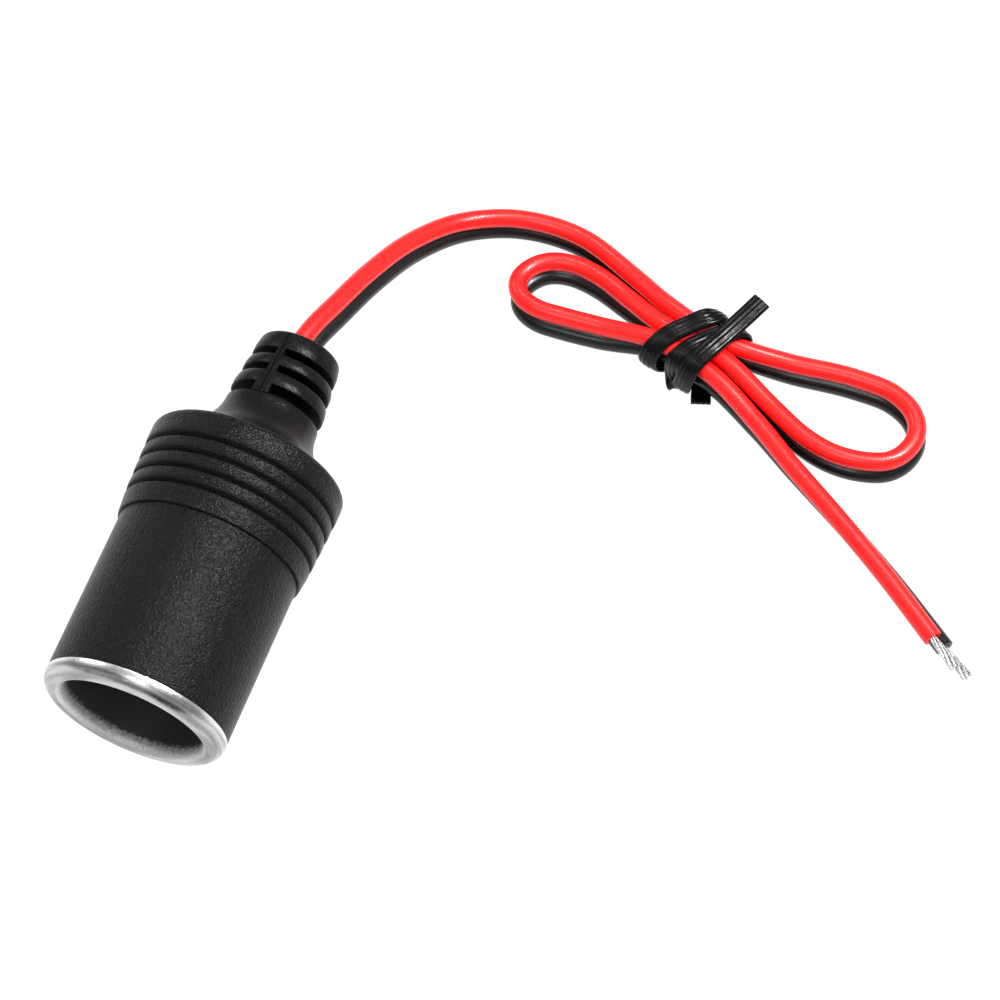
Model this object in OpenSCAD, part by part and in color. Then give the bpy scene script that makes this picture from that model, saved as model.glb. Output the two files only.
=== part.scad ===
// Female 12 volt car socket on a red and black twin lead.
// The socket lies on its side with the mouth to the front, minus Y, and the tail to the back.
// The lead leaves the tail, is folded into a flat bow and is held by one flat tie.
// Lengths along the socket are measured from the mouth face. All sizes are in millimetres.

/* [Mouth and metal liner] */
// Inside diameter of the liner, where a plug slides in
bore_d = 21.4; // [21:0.1:21.6]
// Depth of the bore from the mouth face to the cup floor
bore_depth = 37.4; // [36.8:0.2:37.6]
// Sheet thickness of the drawn liner
liner_wall = 0.6; // [0.4:0.1:0.7]
// Inside radius of the drawn corner at the cup floor
corner_r = 2.9; // [2.8:0.1:3.1]
// Height of the rolled rim over the sleeve
rim_proud = 0.05; // [0:0.05:0.2]
// Rounding of the outer side of the rolled rim
rim_round = 2.5; // [2.2:0.05:2.6]
// Length of the rolled rim along the socket
rim_len = 3; // [2.6:0.1:3.4]

/* [Black sleeve] */
// Wall of the sleeve round the liner
sleeve_wall = 2.6; // [2.4:0.05:2.7]
// Length of the sleeve behind the cup floor
sleeve_past = 3; // [2.8:0.1:3.4]

/* [Boot collar] */
// Length of the sleeve that the collar covers
collar_cover = 12; // [11:0.1:13]
// Height of the front edge of the collar over the sleeve
collar_edge_wall = 0.4; // [0.3:0.05:0.6]
// Height of the collar over the sleeve at the first groove
collar_front_wall = 0.75; // [0.7:0.05:0.85]
// Height of the last, wide land of the collar over the sleeve
collar_rear_wall = 1.225; // [1.1:0.025:1.4]
// Distance from the front edge to the middle of the first groove
first_groove = 3.4; // [2.8:0.1:3.6]
// Distance from one groove to the next
groove_pitch = 2.55; // [2.3:0.05:2.6]
// Number of grooves round the collar
groove_count = 4; // [2:1:4]
// Radius of the round bottom of each groove
groove_r = 0.35; // [0.2:0.05:0.45]
// Length of the boot from the rear end of the sleeve to the flat shoulder
shoulder_past = 3.6; // [3.4:0.1:4]
// Rounding of the outer edge of the shoulder
shoulder_round = 1.2; // [0.8:0.1:1.5]

/* [Neck and strain relief] */
// Length of the flared neck behind the shoulder
neck_len = 8.4; // [8:0.1:8.8]
// Diameter of the neck where the strain relief begins
neck_d = 14.7; // [14.3:0.1:15]
// Diameter of the strain relief at its root
relief_root_d = 15.1; // [15:0.1:15.6]
// Diameter of the strain relief at its tail
relief_tail_d = 12.7; // [12:0.1:13.4]
// Length of the strain relief from the neck to the tail face
relief_len = 11.8; // [11.5:0.1:13]
// Rounding of the tail edge
tail_round = 1; // [0.8:0.1:1.6]
// Length of the wide slot row beside the neck
slot_wide = 1.8; // [1.4:0.1:2]
// Length of each of the two narrow slot rows
slot_narrow = 1.25; // [0.9:0.05:1.5]
// Distance from the end of the neck to the middle of the second slot row
second_row = 4.7; // [4.2:0.1:5]
// Distance from the second slot row to the third
row_step = 3.1; // [2.6:0.1:3.4]
// Depth of the slots
slot_depth = 1.7; // [1:0.1:1.9]
// Width of the plain web between the slots, top and bottom
web_w = 1.9; // [1.4:0.1:2.6]
// Turn of the webs and of the lead about the axis of the socket, in degrees
roll = 16.5; // [0:0.5:30]

/* [Contact parts] */
// Gap between the insulating disc at the cup floor and the drawn corner
front_disc_gap = 0.2; // [0.1:0.1:1]
// Thickness of the insulating disc at the cup floor
front_disc_t = 0.8; // [0.6:0.1:1]
// Diameter of the dished centre contact
contact_d = 9; // [8:0.5:11]
// Height of the dish of the centre contact
contact_h = 1.8; // [1.4:0.1:2.4]
// Diameter of the shank of the contact rivet
rivet_d = 2.4; // [2:0.1:2.6]
// Diameter of the insulating washer behind the cup floor
rear_disc_d = 10; // [9:0.2:10.2]
// Length of the solder tabs behind the cup floor
tab_reach = 5.5; // [5.2:0.1:5.8]
// Width of the solder tabs
tab_w = 3; // [2.4:0.2:3.6]
// Sheet thickness of contact and tabs
tab_t = 0.5; // [0.4:0.05:0.5]

/* [Lead and tie] */
// Diameter of each insulated wire
wire_d = 2.8; // [2.5:0.1:2.8]
// Distance between the middles of the two wires
wire_pitch = 2.9; // [2.85:0.05:2.95]
// Diameter of the bare twisted conductor
core_d = 1.3; // [1:0.1:1.5]
// Length of the bare conductor at the free end
strip_len = 5.5; // [3:0.5:10]
// Further length of the black wire past the red one
black_extra = 1.5; // [0.5:0.5:4]
// Thickness of the flat tie
tie_t = 0.9; // [0.6:0.1:1]
// Width of the flat tie
tie_w = 3.1; // [2.6:0.1:3.2]
// Length of the long free end of the tie
tie_tail = 14; // [10:0.5:15]

/* [Hidden] */
$fn = 96;

// Clearances between pieces
fit = 0.1;
skin = 0.05;
floor_gap = 0.02;

// Rim and sleeve
bore_r = bore_d / 2;
liner_r = bore_r + liner_wall;
sleeve_bore_r = liner_r + fit;
sleeve_r = sleeve_bore_r + sleeve_wall;
rim_r = sleeve_r + rim_proud;
rim_mid = rim_r - rim_round;
lip_round = rim_mid - bore_r;
floor_back = bore_depth + liner_wall;
sleeve_end = floor_back + sleeve_past;
floor_hole_r = rivet_d / 2 + 1.1;

// Boot
collar_start = sleeve_end - collar_cover;
shoulder_at = sleeve_end + shoulder_past;
neck_end = shoulder_at + neck_len;
tail_end = neck_end + relief_len;
edge_r = sleeve_r + collar_edge_wall;
edge_round = 0.3;
front_r = sleeve_r + collar_front_wall;
rear_r = sleeve_r + collar_rear_wall;
last_groove = collar_start + first_groove + groove_pitch * (groove_count - 1);
neck_r = neck_d / 2;
flare_r = neck_end - shoulder_at;
flare_out = rear_r - shoulder_round - 0.8;
flare_at = neck_end - sqrt(pow(flare_r, 2) - pow(neck_r + flare_r - flare_out, 2));
relief_root_r = relief_root_d / 2;
relief_tail_r = relief_tail_d / 2;
row_mid = [neck_end + slot_wide / 2, neck_end + second_row, neck_end + second_row + row_step];
row_len = [slot_wide, slot_narrow, slot_narrow];

// Stack of contact parts, counted along the socket
front_disc_d = bore_d - 2 * (corner_r + front_disc_gap);
contact_back = bore_depth - skin - front_disc_t - skin;
contact_front = contact_back - tab_t;
washer_front = floor_back + skin;
washer_back = washer_front + 0.8;
tab_front = washer_back + skin;
tab_back = tab_front + tab_t;
backing_front = tab_back + skin;
backing_back = backing_front + 0.35;
hole_r = rivet_d / 2 + skin;
tab_end = floor_back + tab_reach;
upright_in = (wire_pitch + core_d) / 2;
bridge_at = floor_back + 2.4;
ground_foot = 2.4;
ground_in = bore_r - corner_r - ground_foot;
solder_len = 1.3;
solder_front = tab_end - 0.2 - solder_len;
core_front = solder_front - 0.4;
wire_start = tab_end + 1.5;

// Inner cap: skirt in the sleeve, flange behind it and cone over the terminals
cap_front = floor_back + 0.4;
cap_wall = 1;
cap_end = wire_start + 1.5;
cap_skirt_r = sleeve_bore_r - fit;
cap_skirt_wall = 1.2;
cap_flange_r = sleeve_r - 0.5;
cap_base_r = cap_skirt_r - 0.8;
cap_tip_r = wire_pitch + wire_d + 0.3;

// The socket rests on the rolled rim and on the last land of the collar
rest_m = last_groove + groove_r - rim_round;
rest_r = rear_r - rim_mid;
tilt = atan2(rest_r, rest_m) - asin(rim_round / sqrt(rest_m * rest_m + rest_r * rest_r));
mouth_z = rim_round * (1 - sin(tilt)) + rim_mid * cos(tilt);
front_reach = rim_round * cos(tilt) - rim_mid * sin(tilt) - rim_round;
back_reach = tail_end * cos(tilt) + (relief_tail_r - tail_round) * sin(tilt);
mouth_y = -(front_reach + back_reach) / 2;

// Lead route, mouth to free end. Each row is X, Y, height of the lower wire
// above the surface and lean of the pair in degrees. Two rows lie on the socket axis.
wire_r = wire_d / 2;
half_pitch = wire_pitch / 2;
knot_lift = tie_t + 0.1;
function axis_row(m) = [0, mouth_y + m * cos(tilt),
    mouth_z + m * sin(tilt) - wire_r - floor_gap - half_pitch * cos(roll), roll];
first_arc = [[2, 42.8, 11, 15], [4, 51.8, 8, 13], [7, 60.8, 4.5, 10], [12, 68.3, 1.5, 6],
    [19, 72.3, 0.5, 4], [29, 73.3, 0, 2], [39, 69.8, 0, 0]];
out_knot = [[47, 65.8, knot_lift, 0], [58, 62.8, knot_lift, 0]];
right_loop = [[68, 63.3, 0, 9], [78, 64.3, 0, 11], [84.5, 63.8, 0, 7], [88, 61.8, 0, 2],
    [89.5, 58.8, 0, -5], [89, 55.8, 0, -9], [87, 52.8, 0, -10], [83.5, 51.3, 0, -10],
    [79, 50.8, 0, -8], [74, 51.8, 0, -7], [68, 54.8, 0, -4]];
back_knot = [[58, 59.8, knot_lift, 0], [47, 62.3, knot_lift, 0]];
left_loop = [[40, 65.3, 0, -8], [34.5, 67.3, 0, -13], [30, 67.8, 0, -15], [26.5, 66.8, 0, -16],
    [24.5, 64.8, 0, -18], [23.5, 62.3, 0, -15], [24.5, 59.8, 0, 0], [27.5, 58.3, 0, 15],
    [32, 58.3, 0, 20], [38.5, 58.8, 0, 18]];
last_knot = [[47, 59.3, knot_lift, 0], [58, 56.3, knot_lift, 0]];
free_tail = [[65.5, 52.8, 0, -3], [74, 47.3, 0, -12], [83.5, 40.8, 0, -20],
    [93, 34.8, 0, -26], [102.5, 28.3, 0, -30]];
route = concat([axis_row(wire_start), axis_row(tail_end + 0.5)], first_arc, out_knot,
    right_loop, back_knot, left_loop, last_knot, free_tail);
last = len(route) - 1;
sides = 8;

function unit(v) = v / norm(v);
function middle(i) = [route[i][0], route[i][1],
    wire_r + floor_gap + route[i][2] + half_pitch * cos(route[i][3])];
function heading(i) = unit(middle(min(i + 1, last)) - middle(max(i - 1, 0)));
function right_of(i) = unit([heading(i)[1], -heading(i)[0], 0]);
function above(i) = cross(right_of(i), heading(i));
function to_red(i) = above(i) * cos(route[i][3]) - right_of(i) * sin(route[i][3]);
function wire_point(i, s) = middle(i) + s * half_pitch * to_red(i);
function ring_point(i, s, k, far) = wire_point(i, s) + far * heading(i)
    + wire_r * (cos(k * 360 / sides - 90) * right_of(i) + sin(k * 360 / sides - 90) * above(i));

// Tie band round the three passes of the lead
knot_mid = [52.5, 61.05];
knot_turn = atan2(-3, 11);
band_half = 3.25 * cos(knot_turn) + wire_r + skin;
band_low = tie_t + skin;
band_high = knot_lift + wire_d + wire_pitch + floor_gap + skin;
band_pitch = 3.2;
tie_tail_at = [54.3, 56.2, band_high + 0.3];
tie_stub_at = [56.4, 56.4, 0.1];
tie_stub = 4;

module placed() {
    translate([0, mouth_y, mouth_z])
        rotate([tilt - 90, 0, 0])
            rotate([0, 0, -roll])
                children();
}

// Block between two radii and two distances from the mouth, drawn as radius and distance
module zone(r0, r1, m0, m1) {
    translate([r0, m0]) square([r1 - r0, m1 - m0]);
}

// Half outline of the rolled rim, drawn inset by the sheet or by the sheet and a clearance
module rim_outline(inset) {
    intersection() {
        translate([rim_mid, rim_round]) circle(r = rim_round - inset);
        zone(rim_mid, rim_r, 0, rim_round);
    }
    intersection() {
        translate([rim_mid, lip_round]) circle(r = lip_round - inset);
        zone(bore_r, rim_mid, 0, lip_round);
    }
    zone(bore_r + inset, rim_mid, lip_round, rim_len + skin);
    zone(rim_mid, rim_r - inset, rim_round, rim_len + skin);
}

module outer_sleeve() {
    color("dimgray") placed() rotate_extrude() {
        rim_outline(liner_wall + fit);
        zone(sleeve_bore_r, sleeve_r, rim_len + skin, sleeve_end);
    }
}

module socket_liner() {
    color("silver") placed() rotate_extrude() {
        zone(bore_r, liner_r, lip_round, bore_depth - corner_r);
        zone(floor_hole_r, bore_r - corner_r, bore_depth, floor_back);
        translate([bore_r - corner_r, bore_depth - corner_r]) intersection() {
            difference() {
                circle(r = corner_r + liner_wall);
                circle(r = corner_r);
            }
            square(corner_r + liner_wall);
        }
        difference() {
            rim_outline(0);
            rim_outline(liner_wall);
            zone(bore_r - 1, rim_r + 1, rim_len, rim_len + 1);
        }
    }
}

// Half outline of the boot from the collar to the flat shoulder
module collar_outline() {
    difference() {
        union() {
            polygon([[0, collar_start], [edge_r - edge_round, collar_start],
                [edge_r, collar_start + edge_round], [front_r, collar_start + first_groove],
                [0, collar_start + first_groove]]);
            for (i = [1:groove_count]) {
                land_start = collar_start + first_groove + groove_pitch * (i - 1);
                land_end = i == groove_count ? shoulder_at - shoulder_round
                    : collar_start + first_groove + groove_pitch * i;
                land_r = front_r + (rear_r - front_r) * i / groove_count;
                zone(0, land_r, land_start, land_end);
            }
            translate([rear_r - shoulder_round, shoulder_at - shoulder_round])
                circle(r = shoulder_round);
            zone(0, rear_r - shoulder_round, shoulder_at - shoulder_round - 0.5, shoulder_at);
        }
        for (i = [0:groove_count - 1])
            translate([front_r + (rear_r - front_r) * (i + 0.5) / groove_count,
                collar_start + first_groove + groove_pitch * i])
                circle(r = groove_r);
    }
}

// Half outline of the flared neck
module neck_outline() {
    polygon([[0, shoulder_at - 0.2], [rear_r - shoulder_round, shoulder_at - 0.2],
        [rear_r - shoulder_round, shoulder_at], [flare_out, flare_at], [0, flare_at]]);
    difference() {
        zone(0, flare_out, shoulder_at, neck_end + 0.3);
        translate([neck_r + flare_r, neck_end]) circle(r = flare_r);
        zone(neck_r, neck_r + flare_r, neck_end, neck_end + 1);
    }
}

// Half outline of the tapered strain relief with its rounded tail
module relief_outline() {
    polygon([[0, neck_end], [relief_root_r, neck_end],
        [relief_tail_r, tail_end - tail_round],
        [relief_tail_r - tail_round, tail_end - tail_round], [0, tail_end - tail_round]]);
    zone(0, relief_tail_r - tail_round, tail_end - tail_round - 0.5, tail_end);
    translate([relief_tail_r - tail_round, tail_end - tail_round]) circle(r = tail_round);
}

// One row of slots: a ring cut, left whole at the two webs
module slot_row(mid, long) {
    floor_r = relief_root_r - (relief_root_r - relief_tail_r) * (mid - neck_end)
        / (tail_end - tail_round - neck_end) - slot_depth;
    reach = relief_root_r + 2;
    difference() {
        translate([0, 0, mid - long / 2]) cylinder(r = reach, h = long);
        translate([0, 0, mid - long]) cylinder(r = floor_r, h = long * 2);
        translate([-web_w / 2, -reach - 1, mid - long])
            cube([web_w, 2 * reach + 2, long * 2]);
    }
}

// Figure of eight passage for the two wires
module wire_passage(from, to) {
    translate([0, -half_pitch, from]) cylinder(r = wire_r + fit, h = to - from);
    translate([0, half_pitch, from]) cylinder(r = wire_r + fit, h = to - from);
    translate([-0.5, -half_pitch, from]) cube([1, wire_pitch, to - from]);
}

module rear_boot() {
    color("black") placed() difference() {
        rotate_extrude() {
            collar_outline();
            neck_outline();
            relief_outline();
        }
        translate([0, 0, collar_start - 1])
            cylinder(r = sleeve_r + skin, h = sleeve_end + skin - collar_start + 1);
        translate([0, 0, sleeve_end])
            cylinder(r = cap_flange_r + skin, h = cap_wall + fit + skin);
        translate([0, 0, sleeve_end + cap_wall + fit])
            cylinder(r1 = cap_base_r + fit, r2 = cap_tip_r + fit,
                h = cap_end + skin - sleeve_end - cap_wall - fit);
        wire_passage(cap_end, tail_end + 1);
        for (i = [0:2]) slot_row(row_mid[i], row_len[i]);
    }
}

module inner_cap() {
    color("gray") placed() difference() {
        rotate_extrude()
            polygon([[cap_skirt_r - cap_skirt_wall, cap_front], [cap_skirt_r, cap_front],
                [cap_skirt_r, sleeve_end + skin], [cap_flange_r, sleeve_end + skin],
                [cap_flange_r, sleeve_end + cap_wall + skin],
                [cap_base_r, sleeve_end + cap_wall + fit],
                [cap_tip_r, cap_end], [0, cap_end], [0, cap_end - cap_wall],
                [cap_tip_r - cap_wall * 0.6, cap_end - cap_wall],
                [cap_skirt_r - cap_skirt_wall, sleeve_end]]);
        wire_passage(cap_end - 2, cap_end + 1);
    }
}

module front_insulator() {
    color("tan") placed() difference() {
        union() {
            translate([0, 0, bore_depth - skin - front_disc_t])
                cylinder(d = front_disc_d, h = front_disc_t);
            translate([0, 0, bore_depth - skin - 0.1])
                cylinder(r = floor_hole_r - skin, h = liner_wall + skin + 0.1);
        }
        translate([0, 0, bore_depth - 3]) cylinder(r = hole_r, h = 6);
    }
}

module centre_contact() {
    color("gold") placed() rotate_extrude() {
        zone(hole_r, contact_d / 2, contact_front, contact_back);
        zone(contact_d / 2 - tab_t, contact_d / 2, contact_back - contact_h, contact_back);
    }
}

module rear_insulator() {
    color("tan") placed() rotate_extrude()
        zone(hole_r, rear_disc_d / 2, washer_front, washer_back);
}

module contact_rivet() {
    color("goldenrod") placed() rotate_extrude() {
        zone(0, rivet_d / 2, contact_front - skin - 0.3, backing_back + skin + 0.3);
        zone(0, rivet_d / 2 + 1, contact_front - skin - 0.7, contact_front - skin);
        zone(0, 1.9, backing_back + skin, backing_back + skin + 0.55);
    }
}

module rivet_washer() {
    color("goldenrod") placed() rotate_extrude()
        zone(hole_r, 2, backing_front, backing_back);
}

module positive_tab() {
    color("gold") placed() difference() {
        union() {
            translate([0, 0, tab_front]) cylinder(r = 3, h = tab_t);
            translate([-tab_w / 2, -upright_in - tab_t, tab_front])
                cube([tab_w, tab_t, tab_end - tab_front]);
        }
        translate([0, 0, tab_front - 1]) cylinder(r = hole_r, h = 3);
    }
}

module ground_tab() {
    color("silver") placed() {
        translate([-tab_w / 2, ground_in, washer_front]) cube([tab_w, ground_foot, tab_t]);
        translate([-tab_w / 2, ground_in, washer_front])
            cube([tab_w, tab_t, bridge_at + tab_t - washer_front]);
        translate([-tab_w / 2, upright_in, bridge_at])
            cube([tab_w, ground_in + tab_t - upright_in, tab_t]);
        translate([-tab_w / 2, upright_in, bridge_at])
            cube([tab_w, tab_t, tab_end - bridge_at]);
    }
}

// Solder round one conductor where it lies on its tab, side is minus one or one
module solder(side) {
    color("lightgray") placed() difference() {
        translate([0, side * half_pitch, solder_front]) cylinder(r = 1.1, h = solder_len);
        translate([0, side * half_pitch, solder_front - 1]) cylinder(d = core_d, h = 4);
        translate([-3, side > 0 ? upright_in - skin : -upright_in - 2, solder_front - 1])
            cube([6, 2 + skin, 4]);
    }
}

module positive_solder() {
    solder(-1);
}

module ground_solder() {
    solder(1);
}

// Bare conductor from the wire to its tab
module core_joint(side) {
    color("orange") placed() translate([0, side * half_pitch, core_front])
        cylinder(d = core_d - skin * 2, h = wire_start - skin - core_front);
}

module red_core_joint() {
    core_joint(-1);
}

module black_core_joint() {
    core_joint(1);
}

// One insulated wire swept along the route, side is one for red and minus one for black
module wire(side, extra) {
    rings = [for (i = [0:last]) for (k = [0:sides - 1])
        ring_point(i, side, k, i == last ? extra : 0)];
    ends = [[for (k = [0:sides - 1]) k],
        [for (k = [sides - 1:-1:0]) last * sides + k]];
    walls = [for (i = [0:last - 1]) for (k = [0:sides - 1])
        [i * sides + k, (i + 1) * sides + k, (i + 1) * sides + (k + 1) % sides,
            i * sides + (k + 1) % sides]];
    polyhedron(points = rings, faces = concat(ends, walls), convexity = 10);
}

module red_wire() {
    color("red") wire(1, 0);
}

module black_wire() {
    color("black") wire(-1, black_extra);
}

// Bare tinned end of one wire, in line with its last ring
module lead_end(side, extra) {
    tip = wire_point(last, side) + (extra + skin) * heading(last);
    turn = atan2(heading(last)[1], heading(last)[0]);
    color("lightgray") translate(tip) rotate([0, 90, turn]) cylinder(d = core_d, h = strip_len);
}

module red_lead_end() {
    lead_end(1, 0);
}

module black_lead_end() {
    lead_end(-1, black_extra);
}

// Rounded frame across the lead, drawn as width and height
module band_outline(grow) {
    low = band_low - grow;
    high = band_high + grow;
    half = band_half + grow;
    round_r = 1 + grow;
    translate([-half + round_r, low]) square([2 * (half - round_r), high - low]);
    translate([-half, low + round_r]) square([2 * half, high - low - 2 * round_r]);
    for (x = [-half + round_r, half - round_r], z = [low + round_r, high - round_r])
        translate([x, z]) circle(r = round_r);
}

module band(long, thick) {
    translate([-long / 2, 0, 0]) rotate([90, 0, 90]) linear_extrude(long) difference() {
        band_outline(thick);
        translate([-band_half, band_low]) square([2 * band_half, band_high - band_low]);
    }
}

module cord_tie() {
    color("black") {
        translate([knot_mid[0], knot_mid[1], 0]) rotate([0, 0, knot_turn]) {
            band(band_pitch * 2 + tie_w, tie_t * 0.7);
            for (i = [-1:1]) translate([band_pitch * i, 0, 0]) band(tie_w, tie_t);
        }
        translate(tie_tail_at) rotate([0, 0, 62]) rotate([0, -7, 0])
            translate([0, -tie_w / 2, 0]) cube([tie_tail, tie_w, tie_t]);
        translate(tie_stub_at) rotate([0, 0, 250])
            translate([-1, -tie_w / 2, 0]) cube([tie_stub, tie_w, tie_t - 0.1]);
    }
}

outer_sleeve();
socket_liner();
rear_boot();
inner_cap();
front_insulator();
centre_contact();
rear_insulator();
contact_rivet();
rivet_washer();
positive_tab();
ground_tab();
positive_solder();
ground_solder();
red_core_joint();
black_core_joint();
red_wire();
black_wire();
red_lead_end();
black_lead_end();
cord_tie();
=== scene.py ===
# %% [markdown]
# # A 12 volt car socket on a tied twin lead
# The socket is a drawn metal cup in a black sleeve, closed at the back by a soft black boot.
# A red and black twin lead leaves the boot, is folded into a flat bow and held by a ribbed tie.
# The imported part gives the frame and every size. This notebook dresses it piece by piece.

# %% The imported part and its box
import math
import bmesh
import bpy
from mathutils import Matrix, Vector


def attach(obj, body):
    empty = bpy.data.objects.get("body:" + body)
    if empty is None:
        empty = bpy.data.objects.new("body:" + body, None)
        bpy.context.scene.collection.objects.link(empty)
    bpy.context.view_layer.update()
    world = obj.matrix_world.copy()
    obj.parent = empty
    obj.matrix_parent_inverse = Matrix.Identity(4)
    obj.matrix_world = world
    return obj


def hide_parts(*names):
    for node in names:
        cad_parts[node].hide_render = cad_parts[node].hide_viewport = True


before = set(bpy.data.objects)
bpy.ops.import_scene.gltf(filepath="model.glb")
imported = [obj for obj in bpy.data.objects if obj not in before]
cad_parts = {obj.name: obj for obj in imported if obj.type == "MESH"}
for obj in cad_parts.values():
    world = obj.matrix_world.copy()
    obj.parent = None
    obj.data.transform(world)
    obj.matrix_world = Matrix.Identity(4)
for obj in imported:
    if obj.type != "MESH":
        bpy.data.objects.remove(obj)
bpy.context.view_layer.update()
MM = 0.001

# %% [markdown]
# The camera stands in front of the mouth, to its right, and looks steeply down.
# Its place was found by fitting the ellipses of the rim and collar, so the view is the
# same as the one the product is shown in. It comes first because all else is judged in it.

# %% Camera
CAMERA_AT = Vector((0.12304, -0.20411, 0.47329))
CAMERA_TURN = math.radians(21.09)
CAMERA_DIP = math.radians(62.33)
LENS_MM, SENSOR_MM = 126.8, 36.0
SEES_FROM, SEES_TO = 0.01, 10

ahead = Vector((-math.sin(CAMERA_TURN) * math.cos(CAMERA_DIP),
                math.cos(CAMERA_TURN) * math.cos(CAMERA_DIP), -math.sin(CAMERA_DIP)))
aside = Vector((math.cos(CAMERA_TURN), math.sin(CAMERA_TURN), 0))
upward = aside.cross(ahead)
camera = bpy.data.objects.new("camera", bpy.data.cameras.new("camera"))
bpy.context.scene.collection.objects.link(camera)
camera.data.lens, camera.data.sensor_width = LENS_MM, SENSOR_MM
camera.data.clip_start, camera.data.clip_end = SEES_FROM, SEES_TO
camera.matrix_world = Matrix.Translation(CAMERA_AT) @ Matrix(
    (aside, upward, -ahead)).transposed().to_4x4()
bpy.context.scene.camera = camera
bpy.context.scene.view_settings.view_transform = "Standard"
print("camera looks along", [round(v, 3) for v in ahead])

# %% [markdown]
# The socket lies on its side, on its rim and its collar, so its axis rises a little to the
# back. The moulding's parting line and the lead are turned about that axis. Every round
# piece is drawn upright in millimetres, as on a lathe, and laid down with this one matrix.

# %% How the socket lies
TILT = math.radians(1.7739)
ROLL = math.radians(16.5)
MOUTH = Vector((0, -0.032288, 0.013967))
laid_down = (Matrix.Translation(MOUTH) @ Matrix.Rotation(TILT - math.pi / 2, 4, "X")
             @ Matrix.Rotation(-ROLL, 4, "Z") @ Matrix.Scale(MM, 4))


def on_axis(m):
    """Point of the socket's axis, m metres behind the mouth."""
    return MOUTH + Vector((0, m * math.cos(TILT), m * math.sin(TILT)))


# %% [markdown]
# The lead is a zip cord: two round wires side by side, stood on edge with red on top.
# It leaves the boot along the axis, sinks to the surface and is folded like a flat bow:
# one arc, a loop to the right, a loop to the left and the free tail. Under the tie the
# runs ride a little higher, on the strip that passes below them.
# Each row is x, y and height of the lower wire in metres, and the lean of the pair in degrees.

# %% Route of the lead
WIRE_R = 0.00145
HALF_PITCH = 0.00145
FLOOR_GAP = 0.00002
KNOT = 0.001


def axis_row(m):
    """Route row on the socket's axis, where the boot holds the lead."""
    p = on_axis(m)
    low = p.z - WIRE_R - FLOOR_GAP - HALF_PITCH * math.cos(ROLL)
    return (p.x, p.y, low, math.degrees(ROLL))


route = [
    axis_row(0.045), axis_row(0.052), axis_row(0.059), axis_row(0.0653),
    (0.002, 0.0428, 0.011, 15), (0.004, 0.0518, 0.008, 13), (0.007, 0.0608, 0.0045, 10),
    (0.012, 0.0683, 0.0015, 6), (0.019, 0.0723, 0.0005, 4), (0.029, 0.0733, 0, 2),
    (0.039, 0.0698, 0, 0), (0.047, 0.0658, KNOT, 0), (0.058, 0.0628, KNOT, 0),
    (0.068, 0.0633, 0, 9), (0.078, 0.0643, 0, 11), (0.0845, 0.0638, 0, 7),
    (0.088, 0.0618, 0, 2), (0.0897, 0.0588, 0, -5), (0.0894, 0.0556, 0, -9),
    (0.0874, 0.0526, 0, -10), (0.0837, 0.0511, 0, -10), (0.079, 0.0507, 0, -8),
    (0.074, 0.0518, 0, -7), (0.068, 0.0548, 0, -4), (0.058, 0.0598, KNOT, 0),
    (0.047, 0.0623, KNOT, 0), (0.040, 0.0653, 0, -8), (0.0345, 0.0673, 0, -13),
    (0.030, 0.0678, 0, -15), (0.0265, 0.0668, 0, -16), (0.0245, 0.0648, 0, -18),
    (0.0235, 0.0623, 0, -15), (0.0245, 0.0598, 0, 0), (0.0275, 0.0583, 0, 15),
    (0.032, 0.0583, 0, 20), (0.0385, 0.0588, 0, 18), (0.047, 0.0593, KNOT, 0),
    (0.058, 0.0563, KNOT, -2), (0.0654, 0.0525, 0, -8), (0.0738, 0.047, 0, -15),
    (0.0836, 0.0409, 0, -20), (0.093, 0.0347, 0, -26), (0.1027, 0.0276, 0, -30),
]
print(len(route), "route points")

# %% [markdown]
# A stiff vinyl lead has no corners, so the route is read as a smooth curve through its
# points, sampled every half millimetre and eased by averaging each sample with its
# neighbours. The pair's lean changes just as slowly along it.

# %% Smooth middle line of the pair
LEAD_SAMPLE, LEAD_EASING = 0.0005, 8


def smooth_curve(rows, step):
    """Samples of a smooth curve through rows, about step apart by their first three numbers."""
    last = len(rows) - 1
    chords = [(Vector(rows[i + 1][:3]) - Vector(rows[i][:3])).length for i in range(last)]
    slopes = []
    for i in range(last + 1):
        i0, i1 = max(i - 1, 0), min(i, last - 1)
        before, after = chords[i0], chords[i1]
        slopes.append([(after * (rows[i0 + 1][n] - rows[i0][n]) / before
                        + before * (rows[i1 + 1][n] - rows[i1][n]) / after) / (before + after)
                       for n in range(len(rows[0]))])
    found = []
    for i in range(last):
        count = max(2, round(chords[i] / step))
        for k in range(count):
            t = k / count
            start, end = 2 * t ** 3 - 3 * t ** 2 + 1, 3 * t ** 2 - 2 * t ** 3
            leave, arrive = t ** 3 - 2 * t ** 2 + t, t ** 3 - t ** 2
            found.append(tuple(
                start * p + end * q + chords[i] * (leave * u + arrive * v)
                for p, q, u, v in zip(rows[i], rows[i + 1], slopes[i], slopes[i + 1])))
    found.append(tuple(float(v) for v in rows[-1]))
    return found


def eased(rows, times):
    """Rows averaged with their neighbours, with both ends kept."""
    for _ in range(times):
        rows = [rows[0]] + [
            tuple((p + 2 * q + r) / 4 for p, q, r in zip(rows[i - 1], rows[i], rows[i + 1]))
            for i in range(1, len(rows) - 1)] + [rows[-1]]
    return rows


pair = [(x, y, WIRE_R + FLOOR_GAP + max(low, 0) + HALF_PITCH * math.cos(math.radians(lean)),
         lean) for x, y, low, lean in eased(smooth_curve(route, LEAD_SAMPLE), LEAD_EASING)]
print(len(pair), "samples, lowest middle at", round(min(p[2] for p in pair) / MM, 2), "mm")

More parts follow.
